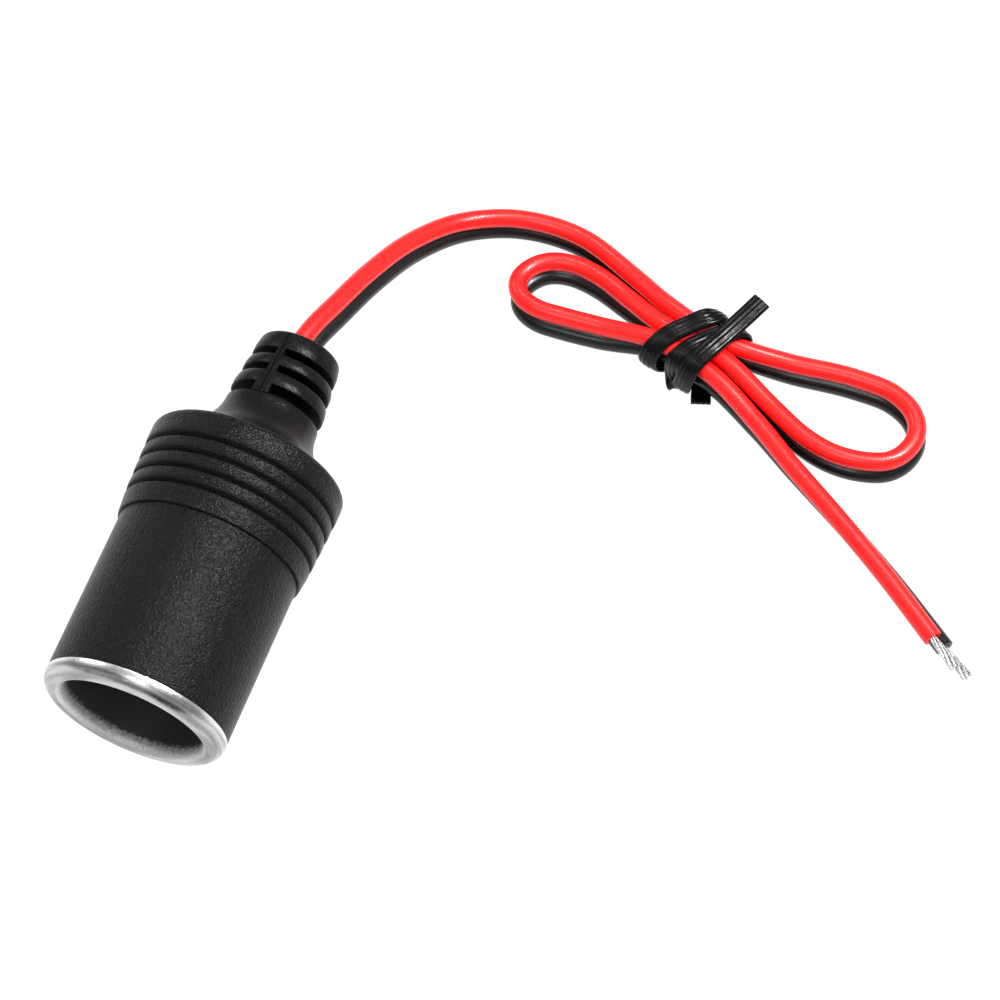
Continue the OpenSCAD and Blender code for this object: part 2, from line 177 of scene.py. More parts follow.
# %% [markdown]
# At each sample the pair has a heading, a level direction to its right and one above.
# The red wire sits at the upper end of the short line between the two middles.

# %% Frames along the pair
def frames_along(rows):
    """(middle, heading, direction from black to red) for each sample."""
    found = []
    for i, row in enumerate(rows):
        heading = (Vector(rows[min(i + 1, len(rows) - 1)][:3])
                   - Vector(rows[max(i - 1, 0)][:3])).normalized()
        right = Vector((heading.y, -heading.x, 0)).normalized()
        above = right.cross(heading)
        lean = math.radians(row[3])
        found.append((Vector(row[:3]), heading,
                      above * math.cos(lean) - right * math.sin(lean)))
    return found


pair_frames = frames_along(pair)
length_shown = sum((pair_frames[i + 1][0] - pair_frames[i][0]).length
                   for i in range(len(pair_frames) - 1))
print("pair is", round(length_shown / MM, 1), "mm long with its part in the boot")

# %% [markdown]
# Wires, strands and the tie are all one outline carried along a path. The first ring is
# laid out, then its edges are extruded from ring to ring. Each corner keeps its number
# in a layer, so an extruded corner knows its place on the next ring.

# %% Carrying an outline along a path
def sweep(bm, rings, close_start=True, close_end=True):
    """Skin over rings of equally many points. Returns the edges of its last ring."""
    place = bm.verts.layers.int.get("place") or bm.verts.layers.int.new("place")
    first = bmesh.ops.create_circle(bm, segments=len(rings[0]), radius=1)["verts"]
    for k, v in enumerate(first):
        v[place] = k
        v.co = rings[0][k]
    edges = list(dict.fromkeys(e for v in first for e in v.link_edges))
    start_edges = edges
    for ring in rings[1:]:
        made = bmesh.ops.extrude_edge_only(bm, edges=edges)["geom"]
        edges = [g for g in made if isinstance(g, bmesh.types.BMEdge)]
        for v in (g for g in made if isinstance(g, bmesh.types.BMVert)):
            v.co = ring[v[place]]
    if close_start:
        bmesh.ops.contextual_create(bm, geom=start_edges)
    if close_end:
        bmesh.ops.contextual_create(bm, geom=edges)
    return edges


def as_object(bm, name, sharp=40):
    """Object from a finished mesh, smooth but for edges over sharp degrees."""
    bmesh.ops.recalc_face_normals(bm, faces=bm.faces[:])
    mesh = bpy.data.meshes.new(name)
    bm.to_mesh(mesh)
    bm.free()
    mesh.shade_smooth()
    mesh.set_sharp_from_angle(angle=math.radians(sharp))
    made = bpy.data.objects.new(name, mesh)
    bpy.context.scene.collection.objects.link(made)
    return made


print("sweep and object helpers ready")

# %% [markdown]
# Each wire's cover is extruded round vinyl with a narrow flat where the web joins it to
# its twin. At the free end the cover is cut square: a ring of wall shows round the hole
# that the strands come out of. So the last ring is drawn in, with a slight round to the
# cut, and then pushed back inside.

# %% Covers of the two wires
WIRE_SIDES = 36
WEB_REACH, WEB_FROM = 0.00149, 0.93
HOLE_R, HOLE_DEEP = 0.0008, 0.0020
CUT_OUT, CUT_IN = 0.00006, 0.00008
LEAST_EXTRA = 0.00005
BLACK_EXTRA = 0.0015


def wire_ring(centre, heading, to_twin, radius, web=True):
    """Round outline of a wire, drawn out to its twin where the web joins them."""
    across = heading.cross(to_twin)
    ring = []
    for k in range(WIRE_SIDES):
        turn = 2 * math.pi * k / WIRE_SIDES
        reach = radius
        if web and math.cos(turn) > WEB_FROM:
            reach = max(radius, WEB_REACH / math.cos(turn))
        ring.append(centre + reach * (math.cos(turn) * to_twin + math.sin(turn) * across))
    return ring


def wire_path(side, extra):
    """Centreline of one wire, side is 1 for red and -1 for black."""
    points = [m + side * HALF_PITCH * up for m, _, up in pair_frames]
    points.append(points[-1] + max(extra, LEAST_EXTRA) * pair_frames[-1][1])
    return points


def wire_cover(name, side, extra):
    """Cover of one wire with its cut end, and the wire's centreline."""
    points = wire_path(side, extra)
    frames = pair_frames + [pair_frames[-1]]
    rings = [wire_ring(p, h, -side * up, WIRE_R) for p, (_, h, up) in zip(points, frames)]
    end, heading, up = points[-1], frames[-1][1], frames[-1][2]
    for past, radius in [(CUT_OUT, WIRE_R - CUT_IN), (CUT_OUT, HOLE_R), (-HOLE_DEEP, HOLE_R)]:
        rings.append(wire_ring(end + past * heading, heading, -side * up, radius, False))
    bm = bmesh.new()
    sweep(bm, rings)
    return as_object(bm, name), points


red_cover, red_line = wire_cover("red_cover", 1, 0)
black_cover, black_line = wire_cover("black_cover", -1, BLACK_EXTRA)
print("covers:", len(red_cover.data.polygons), "and", len(black_cover.data.polygons), "faces")

# %% [markdown]
# Stripped and tinned, each conductor is a rope of seven bunches: one in the middle and six
# round it, laid in a slow twist. The tin holds them together at the cover, and they open a
# little towards the tip, where each was snipped at its own length. A sine of the bunch's
# number stands in for chance, so that the model comes out the same every time.

# %% Strands of the two bare ends
STRAND_R = 0.0002
STRIP = 0.0055
LAY_TURNS = 0.45
STRAND_RINGS, STRAND_SIDES = 15, 8
UNDER_COVER = 0.0018
strand_layers = [(1, 0.0), (6, 0.0004)]


def strands(name, start, heading, up, spread):
    """Twisted bunches of one bare end, opened by spread at the tip."""
    across = heading.cross(up)
    bm = bmesh.new()
    number = 0
    for count, out in strand_layers:
        for k in range(count):
            number += 1
            own = 0.5 * math.sin(number * 12.9898)
            long = STRIP * (1 + 0.07 * own)
            rings = []
            for i in range(STRAND_RINGS):
                t = i / (STRAND_RINGS - 1)
                turn = 2 * math.pi * (k / count + LAY_TURNS * t)
                reach = out * (1 + (spread + 0.5 * own) * t ** 2)
                middle = (start + heading * (long * t - UNDER_COVER * (1 - t)) + reach
                          * (math.cos(turn) * up + math.sin(turn) * across))
                rings.append([middle + STRAND_R * (math.cos(a) * up + math.sin(a) * across)
                              for a in (2 * math.pi * s / STRAND_SIDES
                                        for s in range(STRAND_SIDES))])
            sweep(bm, rings)
    return as_object(bm, name, 50)


tail_heading, tail_up = pair_frames[-1][1], pair_frames[-1][2]
red_strands = strands("red_strands", red_line[-1], tail_heading, tail_up, 0.7)
black_strands = strands("black_strands", black_line[-1], tail_heading, tail_up, 0.6)
print("strands:", len(red_strands.data.polygons), "faces an end")

# %% [markdown]
# The tie is a flat vinyl strip with lengthwise ribs. From its short end, which lies on the
# surface, it passes under the three runs of the lead, twice round them on a slant, turns
# back on itself at the near side and leaves over the top as a long, square cut end.
# Its path is set out in the knot's own frame: along the lead, across it, and up,
# in millimetres, with the way that the strip's face looks at each point.

# %% Path of the tie
KNOT_AT = Vector((0.0525, 0.06105, 0))
KNOT_TURN = math.atan2(-3, 11)
TIE_SAMPLE, TIE_EASING = 0.35, 3
knot_frame = (Matrix.Translation(KNOT_AT) @ Matrix.Rotation(KNOT_TURN, 4, "Z")
              @ Matrix.Scale(MM, 4))
UP, DOWN, NEAR, FAR = (0, 0, 1), (0, 0, -1), (0, -1, 0), (0, 1, 0)
tie_points = [
    ((5.9, -5.9, 0.75), UP), ((4.9, -4.4, 0.40), UP), ((3.6, -2.0, 0.30), UP),
    ((2.7, 1.5, 0.30), UP), ((2.2, 4.0, 0.55), (0, -0.6, 1)), ((2.0, 5.4, 2.2), (0, -1, 0.2)),
    ((1.9, 5.8, 4.8), (0, -1, -0.1)), ((1.5, 5.6, 7.0), (0, -1, -1)),
    ((0.6, 4.0, 8.2), DOWN), ((-1.6, 0.6, 8.0), DOWN), ((-3.3, -3.0, 7.5), (0, 0.3, -1)),
    ((-4.1, -5.3, 5.8), (0, 1, -0.6)), ((-4.3, -6.0, 3.4), (0, 1, 0.1)),
    ((-3.9, -5.2, 1.3), (0, 0.7, 0.7)), ((-2.8, -3.4, 0.72), UP), ((0.4, 0.0, 0.72), UP),
    ((4.2, 3.4, 0.72), UP), ((5.3, 5.0, 1.6), (0, -0.9, 0.6)), ((5.7, 5.7, 3.8), (0, -1, 0)),
    ((5.5, 5.6, 6.0), (0, -1, -0.4)), ((4.6, 4.2, 7.5), (0, -0.3, -1)), ((2.2, 0.6, 7.5), DOWN),
    ((0.6, -2.9, 7.2), (0, 0.3, -1)), ((-0.1, -4.8, 5.8), (0, 1, -0.6)),
    ((-0.2, -5.0, 3.6), (0, 1, 0)), ((0.2, -5.1, 2.1), (0, 1, -0.3)),
    ((0.8, -5.45, 1.2), (0, 0.6, -0.8)), ((1.4, -5.75, 1.05), (0, -0.1, -1)),
    ((2.0, -6.05, 1.7), (0, -0.8, -0.5)),
    ((2.5, -6.1, 3.8), (0, -1, 0.1)), ((2.75, -5.6, 6.2), (0, -0.9, 0.5)),
    ((3.0, -4.3, 7.9), (0, -0.4, 1)), ((3.5, -1.8, 8.5), UP), ((4.3, 2.6, 8.7), UP),
    ((5.0, 6.4, 9.1), UP), ((5.65, 10.1, 9.6), UP),
]
tie_rows = eased(smooth_curve([(*p, *n) for p, n in tie_points], TIE_SAMPLE), TIE_EASING)
print(len(tie_rows), "samples along the tie")

# %% [markdown]
# The strip's outline is a thin bar whose two faces swell into four low ribs.
# At each sample its width lies square to the heading and to the way that the face looks.
# Pulled tight round the lead, the soft strip bulges outwards along its middle, but it lies
# flat where it runs below the lead. Past the fold its other face looks outwards.

# %% The ribbed strip
STRIP_W = 3.1
STRIP_T = 0.30
RIB = 0.24
RIBS = 4
RIB_ROUND = 0.8
FACE_POINTS = 25
CAMBER, CAMBER_FROM, CAMBER_GROWS = 0.32, 1.2, 1.5
TURN_AT = (1.4, -5.75, 1.05)


def strip_outline():
    """Points across the strip and out of its face, in millimetres."""
    top = []
    for k in range(FACE_POINTS):
        t = k / (FACE_POINTS - 1)
        swell = abs(math.sin(math.pi * RIBS * t)) ** RIB_ROUND
        top.append(((t - 0.5) * STRIP_W, STRIP_T / 2 + (RIB / 2) * swell))
    return top + [(x, -y) for x, y in reversed(top)]


outline = strip_outline()
tie_rings = []
turned_back = min(range(len(tie_rows)), key=lambda i: (
    Vector(tie_rows[i][:3]) - Vector(TURN_AT)).length)
for i, row in enumerate(tie_rows):
    before, after = tie_rows[max(i - 1, 0)], tie_rows[min(i + 1, len(tie_rows) - 1)]
    heading = (Vector(after[:3]) - Vector(before[:3])).normalized()
    face = Vector(row[3:])
    face = (face - face.dot(heading) * heading).normalized()
    wide = heading.cross(face)
    outward = -1 if i < turned_back else 1
    swell = outward * CAMBER * min(max((row[2] - CAMBER_FROM) / CAMBER_GROWS, 0), 1)
    tie_rings.append([
        knot_frame @ (Vector(row[:3]) + x * wide
                      + (y + swell * (1 - (2 * x / STRIP_W) ** 2)) * face)
        for x, y in outline])
tie_mesh = bmesh.new()
sweep(tie_mesh, tie_rings)
tie = as_object(tie_mesh, "wound_tie", 60)
print("tie:", len(tie.data.polygons), "faces, lowest point",
      round(min(v.co.z for v in tie.data.vertices) / MM, 2), "mm")

# %% [markdown]
# Pieces that are turned or drawn are spun from a half section. Each corner of the section
# may name a fillet radius, and the fillet is set out here as a short arc. Radius and
# distance from the mouth are in millimetres.

# %% Spinning a half section
FILLET_STEP = 15


def filleted(corners, closed=True):
    """Section points from (radius, distance, fillet) corners."""
    points = []
    n = len(corners)
    for i, corner in enumerate(corners):
        here = Vector(corner[:2])
        fillet = corner[2] if len(corner) > 2 else 0
        if not fillet or (not closed and i in (0, n - 1)):
            points.append(here)
            continue
        a = (Vector(corners[i - 1][:2]) - here).normalized()
        b = (Vector(corners[(i + 1) % n][:2]) - here).normalized()
        half = a.angle(b) / 2
        back = fillet / math.tan(half)
        centre = here + (a + b).normalized() * (fillet / math.sin(half))
        p, q = here + a * back - centre, here + b * back - centre
        bend = math.pi - 2 * half
        steps = max(2, round(math.degrees(bend) / FILLET_STEP))
        for k in range(steps + 1):
            t = k / steps
            turned = (p * math.sin((1 - t) * bend) + q * math.sin(t * bend)) / math.sin(bend)
            points.append(centre + turned)
    return points


def spun(section, steps):
    """Mesh of a closed half section turned about the upright axis."""
    bm = bmesh.new()
    verts = [bm.verts.new((p[0], 0, p[1])) for p in section]
    edges = [bm.edges.new((verts[i - 1], verts[i])) for i in range(len(verts))]
    bmesh.ops.spin(bm, geom=verts + edges, cent=(0, 0, 0), axis=(0, 0, 1), dvec=(0, 0, 0),
                   angle=2 * math.pi, steps=steps, use_merge=True)
    return bm


def lay_down(bm, name, sharp=35):
    """The upright mesh as an object in place, with its upright coordinates kept as a map."""
    upright = [tuple(v.co) for v in bm.verts]
    made = as_object(bm, name, sharp)
    kept = made.data.attributes.new("upright", "FLOAT_VECTOR", "POINT")
    kept.data.foreach_set("vector", [c for p in upright for c in p])
    made.data.transform(laid_down)
    made.data.update()
    return made


print("lathe helpers ready")

# %% [markdown]
# The liner is one drawn cup. Its mouth is rolled outwards over a bead and turned back
# over the end of the sleeve, and its floor corner keeps the radius of the drawing die.
# The bore flares softly into the bead, so that a plug finds its way in. The section starts
# at the rivet's hole in the floor, runs up the bore, over the bead, and back along the
# other side of the sheet. The bead is a quarter oval, longer along the axis than across.

# %% Metal liner with its rolled rim
RIM_R, RIM_MID, WALL = 14.05, 12.0, 0.6
RIM_FRONT, RIM_LONG, RIM_EDGE = 0.5, 2.3, 3.0
BORE_R, FLARE_END, FLARE_STEPS = 10.7, 3.0, 12
RIVET_HOLE, CUP_FLOOR, CORNER_R = 2.3, 37.4, 2.9
BEAD_STEPS, CORNER_STEPS, LINER_STEPS = 20, 8, 192


def arc(r, m, radius, start, end, steps):
    """Points of an arc in the section, angles in degrees from the outward direction."""
    return [(r + radius * math.cos(math.radians(start + (end - start) * k / steps)),
             m + radius * math.sin(math.radians(start + (end - start) * k / steps)))
            for k in range(steps + 1)]


def bead(radial, front, steps):
    """Quarter oval from the crest of the rim out to its side, front edge at the given m."""
    long = RIM_FRONT + RIM_LONG - front
    return [(RIM_MID + radial * math.sin(math.radians(90 * k / steps)),
             front + long * (1 - math.cos(math.radians(90 * k / steps))))
            for k in range(steps + 1)]


flare = [(RIM_MID - (RIM_MID - BORE_R) * math.cos(a),
          RIM_FRONT + (FLARE_END - RIM_FRONT) * (1 - math.sin(a)))
         for a in (math.radians(90 * k / FLARE_STEPS) for k in range(FLARE_STEPS + 1))]
corner_mid = (BORE_R - CORNER_R, CUP_FLOOR - CORNER_R)
up_the_bore = ([(RIVET_HOLE, CUP_FLOOR)] + arc(*corner_mid, CORNER_R, 90, 0, CORNER_STEPS)
               + [(BORE_R, 20)] + flare)
over_the_rim = (bead(RIM_R - RIM_MID, RIM_FRONT, BEAD_STEPS)[1:]
                + arc(RIM_R - 0.1, RIM_EDGE - 0.1, 0.1, 0, 90, 3)
                + [(RIM_R - WALL, RIM_EDGE)])
back_inside = (bead(RIM_R - RIM_MID - WALL, RIM_FRONT + WALL, 12)[::-1]
               + [(11.6, 1.35), (11.35, 1.95), (BORE_R + WALL, 2.6), (BORE_R + WALL, 20)]
               + arc(*corner_mid, CORNER_R + WALL, 0, 90, CORNER_STEPS)
               + [(RIVET_HOLE, CUP_FLOOR + WALL)])
liner = lay_down(spun(up_the_bore + over_the_rim + back_inside, LINER_STEPS), "drawn_liner")
print("liner:", len(liner.data.polygons), "faces")

# %% [markdown]
# The sleeve is a plain moulded tube. A tongue at its front fills the hollow of the rolled
# rim, and its rear end is hidden in the boot, so only the outside shows. Its edges get the
# small radius of a mould.

# %% Black sleeve
SLEEVE_BORE, SLEEVE_R, SLEEVE_END, SLEEVE_EDGE = 11.4, 14.0, 41.0, 3.06
SLEEVE_STEPS = 160
tongue = [(13.35, SLEEVE_EDGE), (13.35, 2.5), (12.85, 1.65, 0.2), (12.1, 1.25, 0.1),
          (11.75, 1.5), (11.45, 2.0)]
sleeve_section = filleted([
    (SLEEVE_BORE, 2.7), (SLEEVE_BORE, SLEEVE_END, 0.2), (SLEEVE_R, SLEEVE_END, 0.2),
    (SLEEVE_R, SLEEVE_EDGE, 0.12)] + tongue)
sleeve = lay_down(spun(sleeve_section, SLEEVE_STEPS), "grained_sleeve")
print("sleeve:", len(sleeve.data.polygons), "faces")

# %% [markdown]
# The boot is one soft moulding: a collar with four grooves that grip the fingers, a flat
# shoulder, a flared neck and a slotted strain relief. Each groove is cut like a saw
# tooth: steep behind the land in front, then a slow ramp up to the next, slightly larger land.

# %% Collar and neck of the boot
COLLAR_START, GROOVE_FIRST, GROOVE_STEP = 29.0, 32.4, 2.55
COLLAR_EDGE, LAND_FRONT, LAND_REAR, GROOVES = 14.4, 14.75, 15.225, 4
GROOVE_BACK, GROOVE_DEEP = 0.35, 0.62
SHOULDER, NECK_END, NECK_R = 44.6, 53.0, 7.35
NECK_SWEEP, NECK_FOOT, NECK_STEPS = 8.4, 13.225, 14

boot_corners = [(14.02, COLLAR_START, 0.05), (COLLAR_EDGE, COLLAR_START, 0.25)]
for i in range(GROOVES):
    at = GROOVE_FIRST + GROOVE_STEP * i
    front = LAND_FRONT + (LAND_REAR - LAND_FRONT) * i / GROOVES
    rear = LAND_FRONT + (LAND_REAR - LAND_FRONT) * (i + 1) / GROOVES
    boot_corners += [(front, at - GROOVE_BACK, 0.3), (front - GROOVE_DEEP, at - 0.22, 0.1),
                     (rear - 0.12, at + 0.45, 0.3), (rear, at + 1.2, 0.5)]
boot_corners += [(LAND_REAR, SHOULDER, 1.2), (NECK_FOOT, SHOULDER, 0.3)]
neck_turn = math.acos((NECK_R + NECK_SWEEP - NECK_FOOT) / NECK_SWEEP)
for k in range(NECK_STEPS + 1):
    turn = neck_turn * (1 - k / NECK_STEPS)
    boot_corners.append((NECK_R + NECK_SWEEP - NECK_SWEEP * math.cos(turn),
                         NECK_END - NECK_SWEEP * math.sin(turn)))
print(len(boot_corners), "corners from the collar to the end of the neck")

# %% [markdown]
# The strain relief tapers towards the tail. Its lands swell a little between the rows of
# slots, which keeps it from looking like a plain cone. The last corners go back inside,
# along the lead's hole and round the cap, to the seat on the sleeve.

# %% Strain relief and inside of the boot
RELIEF_ROOT, RELIEF_TAIL, TAPER_LONG, TAIL_END = 7.55, 6.35, 10.8, 64.5
LAST_SLOT_END, LAND_SWELL, TAIL_ROUND = 63.5, 0.12, 0.9
HOLE_R_DRAWN, HOLE_START = 2.85, 46.55
slot_rows = [(53.0, 54.7), (56.9, 58.15), (59.95, 61.2)]


def relief_r(m):
    """Radius of the tapered strain relief, m millimetres behind the mouth."""
    return RELIEF_ROOT - (RELIEF_ROOT - RELIEF_TAIL) * (m - NECK_END) / TAPER_LONG


boot_corners += [(RELIEF_ROOT, NECK_END)]
for (_, start), end in zip(slot_rows, [slot_rows[1][0], slot_rows[2][0], LAST_SLOT_END]):
    mid = (start + end) / 2
    boot_corners += [(relief_r(start), start), (relief_r(mid) + LAND_SWELL, mid),
                     (relief_r(end), end)]
boot_corners[-1:] = [(relief_r(TAIL_END), TAIL_END, TAIL_ROUND)]
boot_corners += [(HOLE_R_DRAWN, TAIL_END), (HOLE_R_DRAWN, HOLE_START), (6.1, HOLE_START),
                 (10.6, 42.1), (13.55, 42.15), (13.55, 41.05), (14.05, 41.05)]
print(len(boot_corners), "corners in the section of the boot")

# %% [markdown]
# After spinning, the boot doesn't stay round everywhere. These helpers say where a point
# lies about the axis, how far it is from the two plain webs that the slots leave, and how
# wide the lead's hole is. It is one rounded opening and fits the lead only roughly: the
# outer sides of the two wires run through the vinyl, and a small notch stays open on each
# side of their web. The source has two round holes there instead.

# %% Places about the axis of the boot
WEB_TURN = math.radians(5.5)
HOLE_WIRE, HOLE_HALF = 1.5, 1.45
HOLE_TALL, HOLE_LEAST = 0.5, 0.2


def polar(point):
    """Radius and angle of a point about the upright axis."""
    return math.hypot(point.x, point.y), math.atan2(point.y, point.x)


def set_radius(v, radius):
    """Move a point straight out or in, to a radius from the axis."""
    _, a = polar(v.co)
    v.co.x, v.co.y = radius * math.cos(a), radius * math.sin(a)


def off_web(x, y):
    """Angle of a point from the nearer of the two webs, on top of the tail and under it."""
    turn = (math.atan2(y, x) - WEB_TURN) % math.pi
    return abs(turn - math.pi / 2)


def hole_radius(angle):
    """Radius of the lead's hole: about 2 mm, and most along y, where the wires stand."""
    side = abs(math.cos(angle))
    reach = HOLE_HALF * side
    return max(reach + math.sqrt(HOLE_WIRE ** 2 - reach ** 2),
               HOLE_TALL / max(side, HOLE_LEAST))


print("the lead's hole is", round(hole_radius(0), 2), "mm wide to each side and",
      round(hole_radius(math.pi / 2), 2), "mm up and down")

# %% [markdown]
# The section is spun, and then three things are moved. On the relief, the two columns of
# points nearest to the parting line are drawn together until a hair's breadth is left.
# The rings of the hole take its own radius. And the first ring of the relief steps down
# to the neck, all but its webs, so that the slots there run out into the neck.

# %% Turned boot
BOOT_STEPS = 144
BOOT_STEP = 2 * math.pi / BOOT_STEPS
SEAM_HALF = 0.09
SEAM_AT = WEB_TURN - math.pi / 2
SKIN_FROM, HOLE_UNDER = 4.5, 3
web_halves = [math.radians(10.5), math.radians(6.5), math.radians(5.2)]

boot_mesh = spun(filleted(boot_corners), BOOT_STEPS)
seam_left = math.floor(SEAM_AT / BOOT_STEP) * BOOT_STEP
for v in boot_mesh.verts:
    r, a = polar(v.co)
    if v.co.z > NECK_END - 0.01 and r > SKIN_FROM:
        for side, own in ((-1, seam_left), (1, seam_left + BOOT_STEP)):
            if abs(a - own) < 0.2 * BOOT_STEP:
                a = SEAM_AT + side * SEAM_HALF / r
                v.co.x, v.co.y = r * math.cos(a), r * math.sin(a)
    if v.co.z > HOLE_START - 0.1 and r < HOLE_UNDER:
        set_radius(v, hole_radius(a))
    elif abs(v.co.z - NECK_END) < 1e-4 and abs(r - RELIEF_ROOT) < 1e-4:
        if off_web(v.co.x, v.co.y) > web_halves[0] + 0.01:
            set_radius(v, NECK_R)
bmesh.ops.remove_doubles(boot_mesh, verts=boot_mesh.verts[:], dist=0.001)
print("turned boot:", len(boot_mesh.faces), "faces")

# %% [markdown]
# A slot is pressed in: its faces are extruded and drawn towards the axis, and the lips
# that are left get a small round. The parting line is made in the same way, only shallow.
# It shows where the two halves of the mould met.

# %% Slots and parting line
SLOT_DEPTH, SLOT_OUTSIDE, LIP_ROUND = 2.3, 6.2, 0.1
SEAM_DEPTH, SEAM_WITHIN = 0.3, 0.01


def pressed_in(bm, faces, radius_of):
    """Extrude faces and move them to the radius that radius_of gives for each point."""
    made = bmesh.ops.extrude_face_region(bm, geom=faces)["geom"]
    for v in (g for g in made if isinstance(g, bmesh.types.BMVert)):
        set_radius(v, radius_of(v))
    bmesh.ops.delete(bm, geom=[f for f in faces if f.is_valid], context="FACES_ONLY")


for (start, end), web_half in zip(slot_rows, web_halves):
    row = []
    for f in boot_mesh.faces:
        c = f.calc_center_median()
        if (start < c.z < end and polar(c)[0] > SLOT_OUTSIDE
                and off_web(c.x, c.y) > web_half):
            row.append(f)
    inside = set(row)
    lips = [e for f in row for e in f.edges if sum(x in inside for x in e.link_faces) == 1]
    slot_floor = relief_r((start + end) / 2) - SLOT_DEPTH
    pressed_in(boot_mesh, row, lambda v: slot_floor)
    lips = [e for e in dict.fromkeys(lips) if e.is_valid]
    bmesh.ops.bevel(boot_mesh, geom=lips, affect="EDGES", offset=LIP_ROUND, segments=2,
                    profile=0.5, material=-1)
seam = []
for f in boot_mesh.faces:
    c = f.calc_center_median()
    if c.z > NECK_END and polar(c)[0] > SKIN_FROM and abs(polar(c)[1] - SEAM_AT) < SEAM_WITHIN:
        seam.append(f)
pressed_in(boot_mesh, seam, lambda v: polar(v.co)[0] - SEAM_DEPTH)
boot = lay_down(boot_mesh, "ringed_boot", 38)
print("boot:", len(boot.data.polygons), "faces,", len(seam), "along the parting line")

# %% [markdown]
# Every finish is made of the same few parts: a base, a fine noise that roughens it and a
# bump that catches the light. Most of them read the object's own coordinates in metres,
# so a noise scale of three thousand gives a grain of about a third of a millimetre.

# %% Building blocks of the finishes
COAT_ROUGHNESS = 0.12


def new_material(name, colour, roughness, metallic=0.0, coat=0.0, gloss=0.5):
    """A finish with its constant values set on the shader's own sockets."""
    made = bpy.data.materials.new(name)
    made.use_nodes = True
    shader = made.node_tree.nodes["Principled BSDF"]
    shader.inputs["Base Color"].default_value = (*colour, 1)
    shader.inputs["Roughness"].default_value = roughness
    shader.inputs["Metallic"].default_value = metallic
    shader.inputs["Coat Weight"].default_value = coat
    shader.inputs["Coat Roughness"].default_value = COAT_ROUGHNESS
    shader.inputs["Specular IOR Level"].default_value = gloss
    return made, shader


def node(made, kind, **settings):
    """New node, with inputs or properties set by name."""
    n = made.node_tree.nodes.new(kind)
    for key, value in settings.items():
        if key in n.inputs:
            n.inputs[key].default_value = value
        else:
            setattr(n, key, value)
    return n


def link(made, out, into):
    made.node_tree.links.new(out, into)


def coordinates(made, stretch=(1, 1, 1), attribute=None):
    """The object's coordinates, or those kept in an attribute, stretched per axis."""
    if attribute:
        source = node(made, "ShaderNodeAttribute", attribute_name=attribute).outputs["Vector"]
    else:
        source = node(made, "ShaderNodeTexCoord").outputs["Object"]
    mapping = node(made, "ShaderNodeMapping")
    mapping.inputs["Scale"].default_value = stretch
    link(made, source, mapping.inputs["Vector"])
    return mapping.outputs["Vector"]


def noise(made, where, scale, detail=2.0, roughness=0.5):
    n = node(made, "ShaderNodeTexNoise", Scale=scale, Detail=detail, Roughness=roughness)
    link(made, where, n.inputs["Vector"])
    return n.outputs["Fac"]


def between(made, value, low, high, from_low=0.3, from_high=0.7):
    """A value spread between two limits. Most of a noise lies between 0.3 and 0.7."""
    n = node(made, "ShaderNodeMapRange")
    for key, v in zip(("From Min", "From Max", "To Min", "To Max"),
                      (from_low, from_high, low, high)):
        n.inputs[key].default_value = v
    link(made, value, n.inputs["Value"])
    return n.outputs["Result"]


def bumped(made, shader, height, strength, distance, under=None):
    """Bump on the shader, on top of another bump if one is given."""
    n = node(made, "ShaderNodeBump", Strength=strength, Distance=distance)
    link(made, height, n.inputs["Height"])
    if under is not None:
        link(made, under, n.inputs["Normal"])
    link(made, n.outputs["Normal"], shader.inputs["Normal"])
    return n.outputs["Normal"]


def tinted(made, shader, value, dark, light):
    """Base colour between two colours by a value from 0 to 1."""
    n = node(made, "ShaderNodeMix", data_type="RGBA")
    n.inputs[6].default_value = (*dark, 1)
    n.inputs[7].default_value = (*light, 1)
    link(made, value, n.inputs[0])
    link(made, n.outputs[2], shader.inputs["Base Color"])


def upright_place(made):
    """Distance from the socket's axis and along it, in millimetres."""
    across = node(made, "ShaderNodeVectorMath", operation="LENGTH")
    link(made, coordinates(made, (1, 1, 0), "upright"), across.inputs[0])
    parts = node(made, "ShaderNodeSeparateXYZ")
    link(made, coordinates(made, attribute="upright"), parts.inputs[0])
    return across.outputs["Value"], parts.outputs["Z"]


def near(made, centre, size, turn=(0, 0, 0), soft=0.5):
    """1 inside a small ellipsoid of the upright coordinates, falling to 0 at its edge."""
    own = node(made, "ShaderNodeMapping", vector_type="TEXTURE")
    own.inputs["Location"].default_value = centre
    own.inputs["Rotation"].default_value = turn
    own.inputs["Scale"].default_value = size
    link(made, node(made, "ShaderNodeAttribute", attribute_name="upright").outputs["Vector"],
         own.inputs["Vector"])
    away = node(made, "ShaderNodeVectorMath", operation="LENGTH")
    link(made, own.outputs["Vector"], away.inputs[0])
    return between(made, away.outputs["Value"], 1, 0, soft, 1)


def combined(made, operation, first, second):
    """Two values or outputs put together by one operation."""
    n = node(made, "ShaderNodeMath", operation=operation)
    for value, socket in ((first, n.inputs[0]), (second, n.inputs[1])):
        if isinstance(value, (int, float)):
            socket.default_value = value
        else:
            link(made, value, socket)
    return n.outputs[0]


print("finish helpers ready")

# %% [markdown]
# The sleeve and the collar come from spark-eroded moulds: a fine, sharp grain that turns
# the highlight into glitter. Such a dull surface mirrors little even at a glance, so its
# index of refraction is set low. The neck and strain relief are polished smoother.
# Handling leaves broad, faint patches where the surface is a little duller.

# %% Grain of the black mouldings
MATTE_IOR = 1.2
GRAIN_FINE, GRAIN_COARSE, WEAR = 3100, 1600, 90
GRAIN_DEEP = 0.00017
POLISHED = 0.25


